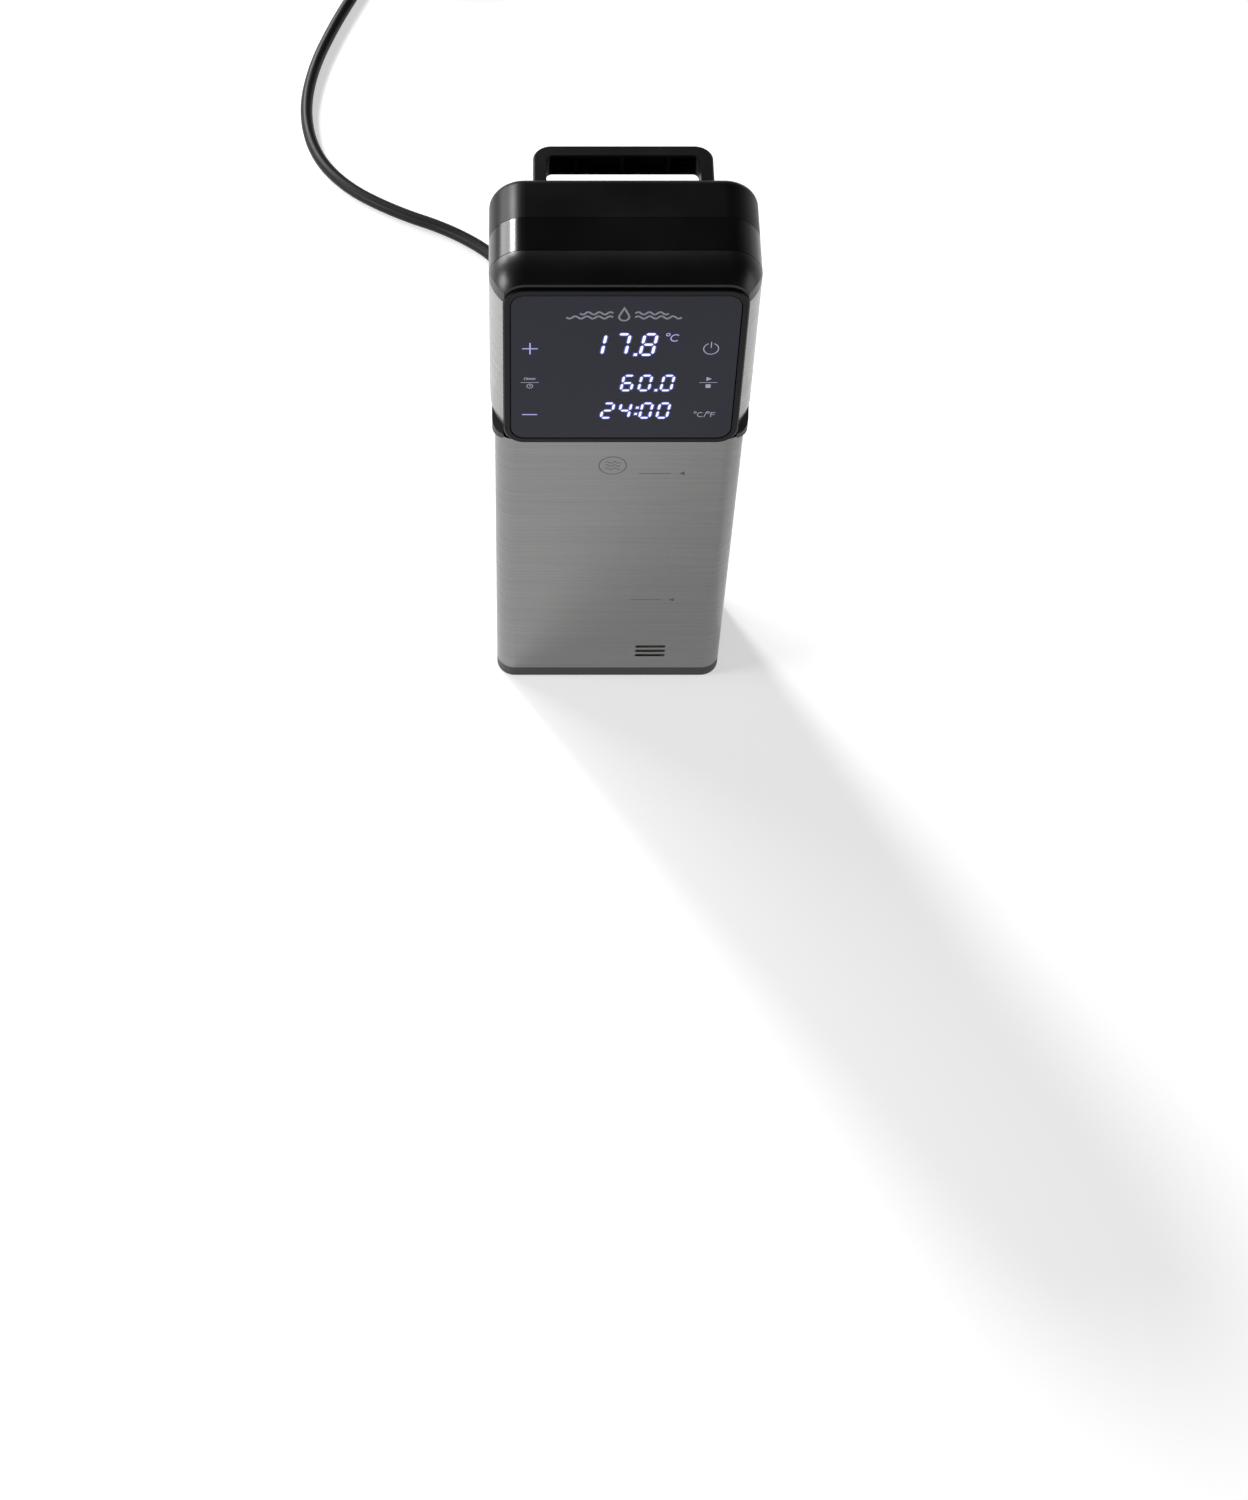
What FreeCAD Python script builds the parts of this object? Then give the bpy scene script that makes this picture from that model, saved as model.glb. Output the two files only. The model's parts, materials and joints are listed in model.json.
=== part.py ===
import FreeCAD, Part
import math
import os

# Clamp-on immersion circulator for a water bath, millimetres.
# Frame: +X to the user's right, +Y to the back, +Z up; origin at the centre of the foot's flat underside.

V = FreeCAD.Vector
X, Y, Z = V(1, 0, 0), V(0, 1, 0), V(0, 0, 1)

# ---- driving dimensions -------------------------------------------------------------------------
HEAD_HALF = 62.0          # half width of the head
HEAD_BASE, HEAD_TOP = 200.0, 305.0
HEAD_BACK = 37.0
FRONT_Y = -33.5           # front of the control panel at HEAD_BASE
LEAN = math.tan(math.radians(4.5))   # the panel leans back
PANEL_SETBACK = 1.5       # shell's front edge behind the panel's face
CORNER_R = 26.6           # front corner arcs in plan
CORNER_RUN = 18.0         # how far the arcs run in Y
SIDE_R = 16.5             # rounding of the top edges
VISOR_R = 21.6            # rounding from the top down to the panel
VISOR_SPLIT, REAR_SPLIT = -9.1, 11.1  # seams across the top
CAP_Z = 288.5             # seam between steel side panels and black caps
SIDE_Z = 220.0            # lower edge of the side panels
SIDE_BACK = 20.0          # rear edge of the side panels
BACK_RIM_R = 5.0          # rounding all round the rear face
WALL, STEEL = 2.5, 1.0
SEAM = 0.2                # half of the gap left at each seam

BEZEL_W, BEZEL_H, BEZEL_T, BEZEL_R = 111.0, 97.3, 6.0, 10.0
GLASS_INSET, GLASS_T = 3.2, 1.8

SKIRT_W, SKIRT_D, SKIRT_R = 119.5, 62.0, 9.7
FOOT_H = 8.0              # visible height of the foot under the steel skirt
SKIRT_TOP = 199.8

PUMP_X, PUMP_Y = 22.0, 3.0
SHAFT_R = 3.0
RUNNING_GAP = 0.05

JAW_Z = 165.0             # clamp screw height
JAW_PAD_Y = 45.0          # moving pad's face at rest
RIM_FACE_Y = 33.0         # fixed rubber's face
LEG_Y, LEG_T = 63.0, 3.0
SCREW_R = 4.0
BOLT_XS, BOLT_Z = (-8.5, 8.5), 209.0    # bolts that hold the bracket to the collar
STRAP_Y, STRAP_T = 37.1, 3.0
ARM_Z = 196.0             # underside of the bracket's arm over the rim

CORD_D = 7.5
CORD_X, CORD_Z = -28.0, 235.0


# ---- helpers ------------------------------------------------------------------------------------
def block(x0, x1, y0, y1, z0, z1):
    return Part.makeBox(x1 - x0, y1 - y0, z1 - z0, V(x0, y0, z0))


def rod(x, y, z0, z1, r, bore=0.0):
    solid = Part.makeCylinder(r, z1 - z0, V(x, y, z0), Z)
    return solid.cut(Part.makeCylinder(bore, z1 - z0, V(x, y, z0), Z)) if bore else solid


def bar(x, z, y0, y1, r, bore=0.0):
    solid = Part.makeCylinder(r, y1 - y0, V(x, y0, z), Y)
    return solid.cut(Part.makeCylinder(bore, y1 - y0, V(x, y0, z), Y)) if bore else solid


def edges_along(shape, axis):
    picked = []
    for edge in shape.Edges:
        if len(edge.Vertexes) == 2:
            run = edge.Vertexes[1].Point - edge.Vertexes[0].Point
            if run.Length > 1e-6 and abs(abs(run.normalize().dot(axis)) - 1) < 1e-4:
                picked.append(edge)
    return picked


def slab(w, d, r, z0, z1, cx=0.0, cy=0.0):
    """Upright block with rounded vertical corners."""
    solid = block(cx - w / 2, cx + w / 2, cy - d / 2, cy + d / 2, z0, z1)
    return solid.makeFillet(r, edges_along(solid, Z))


def outline(points, normal_run):
    """Prism over a closed outline. A point given as (via, end) is reached by an arc through via."""
    edges, here = [], points[0]
    for item in points[1:] + [points[0]]:
        if isinstance(item, tuple):
            via, end = item
            edges.append(Part.Arc(here, via, end).toShape())
            here = end
        else:
            if (item - here).Length > 1e-6:
                edges.append(Part.LineSegment(here, item).toShape())
            here = item
    return Part.Face(Part.Wire(edges)).extrude(normal_run)


def revolve(profile, base, axis):
    """Turn a closed (radius, height) profile about an axis through base."""
    side = X if abs(axis.dot(X)) < 0.9 else Z
    points = [base + side * r + axis * h for r, h in profile]
    face = Part.Face(Part.makePolygon(points + [points[0]]))
    return face.revolve(base, axis, 360)


def fuse(*solids):
    out = solids[0]
    for solid in solids[1:]:
        out = out.fuse(solid)
    return out.removeSplitter()


def cut(solid, *tools):
    for tool in tools:
        solid = solid.cut(tool)
    return solid


def group(*solids):
    return Part.Compound(list(solids))


def screw(at, into, r=1.5, length=10.0, head_r=2.8, head_h=1.8):
    """Pan-head screw: at is the seat under the head, into is the way the shank points."""
    head = Part.makeCylinder(head_r, head_h, at - into * head_h, into)
    shank = Part.makeCylinder(r, length, at, into)
    socket = Part.makeCylinder(head_r * 0.45, head_h * 0.6, at - into * head_h, into)
    return head.fuse(shank).cut(socket)


# ---- head envelope ------------------------------------------------------------------------------
def head_solid(inset):
    """The head's outer form, or the same form moved inwards by inset."""
    low, high = HEAD_BASE - 10, HEAD_TOP + 10
    half, top = HEAD_HALF - inset, HEAD_TOP - inset
    shift = (low - HEAD_BASE) * LEAN
    arc_y = FRONT_Y + PANEL_SETBACK + CORNER_RUN + shift
    arc_x = HEAD_HALF - CORNER_R
    radius = CORNER_R - inset
    run = CORNER_RUN - inset
    reach = arc_x + math.sqrt(radius ** 2 - run ** 2)
    turn = math.asin(run / radius) / 2
    mid = V(arc_x + radius * math.cos(turn), arc_y - radius * math.sin(turn), low)
    front = outline([
        V(half, 60, low), V(half, arc_y, low),
        (mid, V(reach, arc_y - run, low)),
        V(-reach, arc_y - run, low),
        (V(-mid.x, mid.y, low), V(-half, arc_y, low)),
        V(-half, 60, low)], V(0, (high - low) * LEAN, high - low))

    # An arched block with a rounded rear rim runs back from the front seam.
    back = HEAD_BACK - inset
    body = block(-half, half, VISOR_SPLIT, back, low, top)
    body = body.makeFillet(SIDE_R - inset, [e for e in edges_along(body, Y) if e.Vertexes[0].Z > HEAD_BASE])
    rim = [e for e in body.Edges if e.BoundBox.YMin > back - 1e-6 and e.BoundBox.ZMax > HEAD_BASE]
    body = body.makeFillet(BACK_RIM_R - inset, rim)

    # The same arch turns down over the front about the visor's own centre line.
    centre_z = HEAD_TOP - VISOR_R
    arch = body.common(block(-80, 80, VISOR_SPLIT, VISOR_SPLIT + 1, centre_z, high))
    arch = [f for f in arch.Faces if f.BoundBox.YMax < VISOR_SPLIT + 1e-6][0]
    centre = V(0, VISOR_SPLIT, centre_z)
    visor = arch.revolve(centre, X, 90)
    brow = arch.rotated(centre, X, 90).extrude(V(0, 0, low - centre_z))
    return front.common(fuse(body, visor, brow))


def lean_back(solid):
    """Stand a piece drawn in the panel's own plane onto the leaning front."""
    solid.rotate(V(0, 0, 0), X, -math.degrees(math.atan(LEAN)))
    solid.translate(V(0, FRONT_Y, HEAD_BASE))
    return solid


def panel_slab(w, h, r, y0, y1, lift=0.0):
    solid = block(-w / 2, w / 2, y0, y1, lift, lift + h)
    return solid.makeFillet(r, edges_along(solid, Y))


def steel_zone(gap):
    """Where the steel side panels show: above a sweep at the front corners, below the caps."""
    return outline([
        V(-80, -45, HEAD_BASE + 1.5 + gap), V(-80, -33, HEAD_BASE + 2 + gap),
        (V(-80, -24, HEAD_BASE + 7.5 + gap), V(-80, -14.5, SIDE_Z + gap)),
        V(-80, SIDE_BACK - gap, SIDE_Z + gap), V(-80, SIDE_BACK - gap, CAP_Z - gap),
        V(-80, -45, CAP_Z - gap)], V(160, 0, 0))


OUTER = head_solid(0)
PLASTIC_SHELL = OUTER.cut(head_solid(WALL))
STEEL_SHELL = OUTER.cut(head_solid(STEEL))
PANEL_POCKET = lean_back(panel_slab(BEZEL_W + 0.2, BEZEL_H + 20.1, BEZEL_R, -10, BEZEL_T + 40, -20))
PANEL_OUTLINE = lean_back(panel_slab(BEZEL_W + 0.2, BEZEL_H + 0.2, BEZEL_R, -10, BEZEL_T + 0.1, -0.1))
OPEN_FRONT = PANEL_POCKET.common(block(-80, 80, -80, -18, 150, 400))
HANDLE_HALF, HANDLE_BACK, HANDLE_GAP_Y = 41.7, 63.8, 57.2
HANDLE_SCREW_X = 38.5
HANDLE_Z0, HANDLE_Z1 = 285.7, 298.0
HANDLE_MID_Z = (HANDLE_Z0 + HANDLE_Z1) / 2


# ---- head casing --------------------------------------------------------------------------------
def front_visor():
    zone = block(-80, 80, -80, VISOR_SPLIT - SEAM, CAP_Z + SEAM, 400)
    return cut(PLASTIC_SHELL.common(zone), PANEL_OUTLINE)


def top_cover():
    zone = block(-80, 80, VISOR_SPLIT + SEAM, REAR_SPLIT - SEAM / 2, CAP_Z + SEAM, 400)
    return PLASTIC_SHELL.common(zone)


def rear_cover():
    cap = block(-80, 80, REAR_SPLIT + SEAM / 2, 80, CAP_Z + SEAM, 400)
    back = block(-80, 80, SIDE_BACK + SEAM, 80, SIDE_Z + SEAM, CAP_Z + SEAM)
    cover = PLASTIC_SHELL.common(cap.fuse(back)).removeSplitter()
    vents = [block(6, 44, 30, 45, z, z + 2.4) for z in range(230, 276, 6)]
    vents = [slot.makeFillet(1.1, edges_along(slot, Y)) for slot in vents]
    holes = [bar(CORD_X, CORD_Z, 25, 45, 8.1)]
    holes += [bar(side * HANDLE_SCREW_X, HANDLE_MID_Z, 30, 45, 1.6) for side in (-1, 1)]
    return cut(cover, *vents, *holes)


def side_panel(side):
    half = block(0, 80, -80, 80, 150, 400) if side > 0 else block(-80, 0, -80, 80, 150, 400)
    return cut(STEEL_SHELL.common(half).common(steel_zone(SEAM)), PANEL_OUTLINE)


def head_collar():
    """Moulded ring between the steel skirt and the head, with squarer front corners."""
    half = HEAD_HALF - STEEL
    ring = block(-half, half, -30.6, HEAD_BACK, HEAD_BASE, SIDE_Z)
    corners = edges_along(ring, Z)
    ring = ring.makeFillet(7, [e for e in corners if e.Vertexes[0].Y < 0])
    ring = ring.makeFillet(BACK_RIM_R, [e for e in edges_along(ring, Z) if e.Vertexes[0].Y > 20])
    inside = slab(2 * (half - WALL), 61, 8, HEAD_BASE + 3, SIDE_Z, 0, 3)
    ring = cut(ring, inside, steel_zone(-SEAM))
    lip = head_solid(STEEL + 0.1).cut(head_solid(STEEL + 2.1))
    lip = lip.common(block(-80, 80, -26, SIDE_BACK - 1, HEAD_BASE, SIDE_Z + 5))
    window = slab(2 * half - 12, 52, 8, HEAD_BASE - 1, HEAD_BASE + 4, 0, 3)
    body = cut(ring.fuse(lip), window, OPEN_FRONT)
    screws = [bar(x, BOLT_Z, 30, 45, 2.1) for x in BOLT_XS]
    return cut(body, *screws).removeSplitter()


def bezel_frame():
    frame = panel_slab(BEZEL_W, BEZEL_H, BEZEL_R, 0, BEZEL_T)
    inner_w, inner_h = BEZEL_W - 2 * GLASS_INSET, BEZEL_H - 2 * GLASS_INSET
    seat = panel_slab(inner_w + 0.3, inner_h + 0.3, BEZEL_R - 3, -1, GLASS_T + 0.8, GLASS_INSET - 0.15)
    window = panel_slab(inner_w - 8, inner_h - 8, 4, -1, 20, GLASS_INSET + 4)
    front_edges = [e for e in frame.Edges if max(v.Y for v in e.Vertexes) < 1e-6]
    frame = frame.makeChamfer(0.6, front_edges)
    return lean_back(cut(frame, seat, window)).common(block(-80, 80, -80, 80, HEAD_BASE, 400))


def touch_glass():
    w, h = BEZEL_W - 2 * GLASS_INSET, BEZEL_H - 2 * GLASS_INSET
    glass = panel_slab(w, h, BEZEL_R - 3.2, 0.2, 0.2 + GLASS_T, GLASS_INSET)
    front = [e for e in glass.Edges if max(v.Y for v in e.Vertexes) < 0.21]
    return lean_back(glass.makeChamfer(0.4, front))


# ---- electronics behind the panel ---------------------------------------------------------------
PANEL_BOARD_Y = 7.6
BOARD_T = 1.6
BOARD_HOLES = [(x, z) for x in (-43, 43) for z in (14, 84)]
LED_FACE_Y = 2.9


def display_board():
    board = panel_slab(94, 78, 2, PANEL_BOARD_Y, PANEL_BOARD_Y + BOARD_T, 10)
    holes = [Part.makeCylinder(1.6, 5, V(x, PANEL_BOARD_Y - 1, z), Y) for x, z in BOARD_HOLES]
    return lean_back(cut(board, *holes))


def led_modules():
    """Three rows of seven-segment digits."""
    rows = ((8, 50, 68, 7.5), (9.5, 36, 47, 6.0), (9.5, 21, 32, 6.5))
    return group(*[lean_back(block(x - 4 * half, x + 4 * half, LED_FACE_Y, PANEL_BOARD_Y, low, high))
                   for x, low, high, half in rows])


def touch_springs():
    """Contact springs under the six touch keys, as their outer cylinders."""
    keys = [(side * 43.0, z) for side in (-1, 1) for z in (30.0, 45.0, 60.0)]
    return group(*[lean_back(Part.makeCylinder(3.2, PANEL_BOARD_Y - LED_FACE_Y, V(x, LED_FACE_Y, z), Y))
                   for x, z in keys])


TERMINAL_X, TERMINAL_YS = -27.0, (-6.0, 0.0, 6.0)


def power_board():
    return block(-8, -6.4, -16, 24, 212, 282)


def board_bracket():
    """Angle that stands the power board on the chassis plate."""
    upright = block(-6.4, -4.9, -16, 22, 200, 222)
    foot = block(-6.4, -2.4, -16, 22, 200, 201.5)
    return fuse(upright, foot)


def heat_sink():
    base = block(-12, -8, -12, 18, 236, 272)
    fins = [block(-22, -12, y, y + 1.6, 236, 272) for y in range(-12, 18, 4)]
    return fuse(base, *fins)


def board_components():
    """Relay and smoothing capacitor on the power board."""
    relay = block(-24, -8, -14, 6, 214, 230)
    capacitor = Part.makeCylinder(6, 20, V(-28, 15, 222), X)
    return group(relay, capacitor)


def terminal_block():
    body = block(-33, -21, -9, 9, 200, 212)
    wells = [rod(TERMINAL_X, y, 205, 213, 2.4) for y in TERMINAL_YS]
    entries = [block(-34, -31, y - 2, y + 2, 201.5, 204.5) for y in TERMINAL_YS]
    return cut(body, *wells, *entries)


def buzzer():
    return lean_back(cut(Part.makeCylinder(6, 7, V(-30, PANEL_BOARD_Y + BOARD_T, 74), Y),
                         Part.makeCylinder(1.2, 3, V(-30, PANEL_BOARD_Y + 6.6, 74), Y)))


# ---- motor and pump -----------------------------------------------------------------------------
MOTOR_LOW, MOTOR_HIGH = 208.0, 258.0


def motor_mount():
    plate = slab(54, 48, 6, 200, 203, PUMP_X + 3, PUMP_Y)
    posts = [rod(PUMP_X + 19 * math.cos(a), PUMP_Y + 19 * math.sin(a), 203, MOTOR_LOW, 3.2)
             for a in (math.radians(t) for t in (30, 150, 270))]
    return fuse(cut(plate, rod(PUMP_X, PUMP_Y, 190, 210, 12)), *posts)


def motor_housing():
    can = rod(PUMP_X, PUMP_Y, MOTOR_LOW, MOTOR_HIGH, 22)
    hollow = rod(PUMP_X, PUMP_Y, MOTOR_LOW + 2, MOTOR_HIGH - 2, 20.6)
    seats = [rod(PUMP_X, PUMP_Y, MOTOR_LOW, MOTOR_LOW + 6, 10.5),
             rod(PUMP_X, PUMP_Y, MOTOR_HIGH - 6, MOTOR_HIGH, 10.5)]
    pockets = [rod(PUMP_X, PUMP_Y, MOTOR_LOW - 1, MOTOR_LOW + 5, 8.0),
               rod(PUMP_X, PUMP_Y, MOTOR_HIGH - 5, MOTOR_HIGH + 1, 8.0),
               rod(PUMP_X, PUMP_Y, MOTOR_LOW - 1, MOTOR_HIGH + 1, 4.5)]
    vents = []
    for step in range(6):
        angle = math.radians(60 * step)
        vents.append(rod(PUMP_X + 16 * math.cos(angle), PUMP_Y + 16 * math.sin(angle),
                         MOTOR_HIGH - 3, MOTOR_HIGH + 1, 2.5))
    return cut(fuse(can.cut(hollow), *seats), *pockets, *vents)


def motor_bearings():
    return group(*[rod(PUMP_X, PUMP_Y, low, low + 5, 8.0, SHAFT_R + RUNNING_GAP)
                   for low in (MOTOR_LOW, MOTOR_HIGH - 5)])


def motor_stator():
    stack = rod(PUMP_X, PUMP_Y, 217, 249, 20.6, 12.0)
    slots = []
    for step in range(6):
        angle = math.radians(60 * step + 30)
        slots.append(rod(PUMP_X + 15.5 * math.cos(angle), PUMP_Y + 15.5 * math.sin(angle), 216, 250, 3.2))
    return cut(stack, *slots)


def motor_windings():
    """One coil in each of the six stator slots."""
    coils = []
    for step in range(6):
        angle = math.radians(60 * step + 30)
        coils.append(rod(PUMP_X + 15.5 * math.cos(angle), PUMP_Y + 15.5 * math.sin(angle), 215, 251, 3.1))
    return group(*coils)


def motor_rotor():
    return rod(PUMP_X, PUMP_Y, 218, 248, 11.0, SHAFT_R)


def motor_shaft():
    return rod(PUMP_X, PUMP_Y, 16, 274, SHAFT_R)


def vane_wheel(low, high, hub_r, tip_r, count, blade_t, bore, sweep):
    """Hub with swept vertical vanes."""
    wheel = rod(PUMP_X, PUMP_Y, low, high, hub_r)
    for step in range(count):
        start = math.radians(360 * step / count)
        here, points = [], []
        for part, radius in ((0.0, hub_r - 1.0), (0.5, (hub_r + tip_r) / 2), (1.0, tip_r - 1)):
            angle = start + math.radians(sweep) * part
            here.append((radius, angle))
        for radius, angle in here:
            points.append(V(PUMP_X + radius * math.cos(angle), PUMP_Y + radius * math.sin(angle), low))
        for radius, angle in reversed(here):
            angle += blade_t / radius
            points.append(V(PUMP_X + radius * math.cos(angle), PUMP_Y + radius * math.sin(angle), low))
        blade = outline([points[0], (points[1], points[2]), points[3], (points[4], points[5])],
                        V(0, 0, high - low))
        wheel = wheel.fuse(blade)
    return wheel.removeSplitter().cut(rod(PUMP_X, PUMP_Y, low - 1, high + 1, bore))


def cooling_fan():
    return vane_wheel(262, 272, 7, 21, 7, 1.6, SHAFT_R, 35)


def impeller():
    vanes = vane_wheel(18, 27, 6, 17, 6, 1.5, SHAFT_R, 50)
    shroud = rod(PUMP_X, PUMP_Y, 27, 28.5, 16.5, SHAFT_R)
    return fuse(vanes, shroud)


def pump_housing():
    cup = rod(PUMP_X, PUMP_Y, 14, 34, 22)
    spout = block(PUMP_X - 9, PUMP_X + 9, -29.6, PUMP_Y, 17, 30)
    chamber = rod(PUMP_X, PUMP_Y, 16, 31, 19.5)
    duct = block(PUMP_X - 7, PUMP_X + 7, -31, PUMP_Y, 19, 28)
    inlet = rod(PUMP_X, PUMP_Y, 10, 20, 12)
    neck = rod(PUMP_X, PUMP_Y, 30, 36, 8.05)
    return cut(fuse(cup, spout), chamber, duct, inlet, neck)


def pump_column():
    column = rod(PUMP_X, PUMP_Y, 31, 194, 8.0, 6.4)
    weeps = [Part.makeCylinder(1.5, 20, V(PUMP_X - 10, PUMP_Y, z), X) for z in (60, 186)]
    return cut(column, *weeps)


def shaft_bushes():
    return group(*[rod(PUMP_X, PUMP_Y, low, low + 8, 6.4, SHAFT_R + RUNNING_GAP) for low in (36, 178)])


def shaft_seal():
    lip = rod(PUMP_X, PUMP_Y, 194, 200, 6.5, SHAFT_R + 0.4)
    groove = rod(PUMP_X, PUMP_Y, 196, 198, 5.4, SHAFT_R + 0.2)
    return lip.cut(groove)


# ---- chassis, heater and sensors ----------------------------------------------------------------
HEATER_X = (-18.0, -36.0)
HEATER_SPREAD = 17.0
HEATER_R = 4.0
PROBE_X, PROBE_Y = -50.0, 10.0
FLOAT_X, FLOAT_Y = -48.0, -13.0
HEATER_ENDS = [(x, y) for x in HEATER_X for y in (-HEATER_SPREAD, HEATER_SPREAD)]
PLATE_Z0, PLATE_Z1 = 194.0, 200.0    # chassis plate
SKIRT_IN_W, SKIRT_IN_D = SKIRT_W - 2 * STEEL - 0.2, SKIRT_D - 2 * STEEL - 0.2


def chassis_plate():
    plate = slab(SKIRT_IN_W, SKIRT_IN_D, SKIRT_R - STEEL, PLATE_Z0, PLATE_Z1)
    groove = slab(SKIRT_IN_W + 2, SKIRT_IN_D + 2, SKIRT_R, 196, 198)
    groove = groove.cut(slab(SKIRT_IN_W - 3, SKIRT_IN_D - 3, SKIRT_R - 2.5, 195, 199))
    holes = [rod(PUMP_X, PUMP_Y, 190, 205, 6.5), rod(PROBE_X, PROBE_Y, 190, 205, 3.0),
             rod(FLOAT_X, FLOAT_Y, 190, 205, 2.0)]
    holes += [rod(x, y, 190, 205, 6.0) for x, y in HEATER_ENDS]
    return cut(plate, groove, *holes)


def chassis_gasket():
    ring = slab(SKIRT_IN_W + 0.2, SKIRT_IN_D + 0.2, SKIRT_R - STEEL, 196, 198)
    return ring.cut(slab(SKIRT_IN_W - 3, SKIRT_IN_D - 3, SKIRT_R - 2.5, 195, 199))


def heater_hairpins():
    """Two U-shaped heating tubes, legs up to the chassis plate."""
    bend_z = 62.0
    tubes = []
    for x in HEATER_X:
        legs = [rod(x, y, bend_z, 206, HEATER_R) for y in (-HEATER_SPREAD, HEATER_SPREAD)]
        ring = Part.makeTorus(HEATER_SPREAD, HEATER_R, V(x, 0, bend_z), X)
        lower = ring.common(block(x - 10, x + 10, -40, 40, bend_z - 40, bend_z))
        tubes.append(fuse(lower, *legs))
    return group(*tubes)


def heater_bushings():
    return group(*[fuse(rod(x, y, PLATE_Z0, 202, 6.0), rod(x, y, PLATE_Z1, 203, 7.5)).cut(
        rod(x, y, 190, 210, HEATER_R)) for x, y in HEATER_ENDS])


def heater_terminals():
    """Insulator and stud on each end of the heating tubes."""
    return group(*[fuse(rod(x, y, 206, 209, 3.4), rod(x, y, 209, 214, 1.4)) for x, y in HEATER_ENDS])


def heater_brace():
    """Strap that holds the two heating tubes and the column apart."""
    strap = slab(77, 44, 6, 96, 97.5, -4.5, 2)
    holes = [rod(x, y, 90, 100, HEATER_R + 0.05) for x, y in HEATER_ENDS]
    holes.append(rod(PUMP_X, PUMP_Y, 90, 100, 8.05))
    windows = [slab(10, 22, 3, 90, 100, x, 0) for x in HEATER_X]
    return cut(strap, *holes, *windows)


def temp_probe():
    tube = rod(PROBE_X, PROBE_Y, 80, 210, 3.0)
    tip = Part.makeSphere(3.0, V(PROBE_X, PROBE_Y, 80))
    return fuse(tube, tip)


def level_rod():
    stem = rod(FLOAT_X, FLOAT_Y, 62, 208, 2.0)
    stop = rod(FLOAT_X, FLOAT_Y, 64, 65.5, 4.5)
    upper = rod(FLOAT_X, FLOAT_Y, 92.5, 94, 4.5)
    return fuse(stem, stop, upper)


def level_float():
    ring = rod(FLOAT_X, FLOAT_Y, 66, 80, 7.5, 2.5)
    rims = [e for e in ring.Edges if abs(e.Length - 2 * math.pi * 7.5) < 0.1]
    return ring.makeFillet(2, rims)


# ---- steel skirt and foot -----------------------------------------------------------------------
def steel_skirt():
    tube = slab(SKIRT_W, SKIRT_D, SKIRT_R, FOOT_H, SKIRT_TOP)
    hollow = slab(SKIRT_W - 2 * STEEL, SKIRT_D - 2 * STEEL, SKIRT_R - STEEL, FOOT_H - 1, SKIRT_TOP + 1)
    slots = []
    for y in (-15, -5, 5, 15):
        slot = block(-70, 70, y - 2, y + 2, 26, 66)
        slots.append(slot.makeFillet(1.9, edges_along(slot, X)))
    for z in (18.5, 22.5, 26.5):
        slot = block(PUMP_X - 8, PUMP_X + 8, -40, -20, z, z + 2.2)
        slots.append(slot.makeFillet(1.0, edges_along(slot, Y)))
    return cut(tube.cut(hollow), *slots)


COVER_R = 19.6
LUG_R = 21.6


def foot():
    """Moulded foot that plugs the skirt, with a bayonet ring for the intake cover."""
    base = slab(SKIRT_W, SKIRT_D, SKIRT_R, 0, FOOT_H)
    rim = [e for e in base.Edges if all(v.Z < 1e-6 for v in e.Vertexes)]
    base = base.makeFillet(1.2, rim)
    plug = slab(SKIRT_IN_W, SKIRT_IN_D, SKIRT_R - STEEL, FOOT_H, 14)
    body = fuse(base, plug)
    lighten = slab(52, 44, 5, 3, 20, -28, 0)
    mouth = rod(PUMP_X, PUMP_Y, -1, 9, COVER_R + 0.5)
    channel = rod(PUMP_X, PUMP_Y, 3, 6.4, LUG_R + 0.5)
    throat = rod(PUMP_X, PUMP_Y, 8, 15, 14)
    entries = []
    for step in range(3):
        entry = block(COVER_R - 2, LUG_R + 0.5, -5, 5, -1, 4)
        entry.rotate(V(0, 0, 0), Z, 120 * step + 30)
        entry.translate(V(PUMP_X, PUMP_Y, 0))
        entries.append(entry)
    return cut(body, lighten, mouth, channel, throat, *entries)


def intake_cover():
    """Round twist-off grille under the pump."""
    disc = rod(PUMP_X, PUMP_Y, 0.8, 7.5, COVER_R)
    dish = rod(PUMP_X, PUMP_Y, 3.0, 8, COVER_R - 2)
    parts = [disc.cut(dish)]
    for step in range(3):
        lug = block(COVER_R - 1.5, LUG_R, -3.5, 3.5, 3.5, 5.9)
        lug = lug.common(Part.makeCylinder(LUG_R, 20, V(0, 0, -5), Z))
        lug.rotate(V(0, 0, 0), Z, 120 * step)
        lug.translate(V(PUMP_X, PUMP_Y, 0))
        parts.append(lug)
    cover = fuse(*parts)
    slots = []
    for y in (-12, -8, -4, 4, 8, 12):
        half = math.sqrt((COVER_R - 4) ** 2 - y ** 2)
        slots.append(block(PUMP_X - half, PUMP_X + half, PUMP_Y + y - 1, PUMP_Y + y + 1, -1, 4))
    grip = block(PUMP_X - 15, PUMP_X + 15, PUMP_Y - 1.3, PUMP_Y + 1.3, 0.5, 6)
    return fuse(cut(cover, *slots), grip.common(rod(PUMP_X, PUMP_Y, 0.5, 6, COVER_R - 1)))


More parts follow.
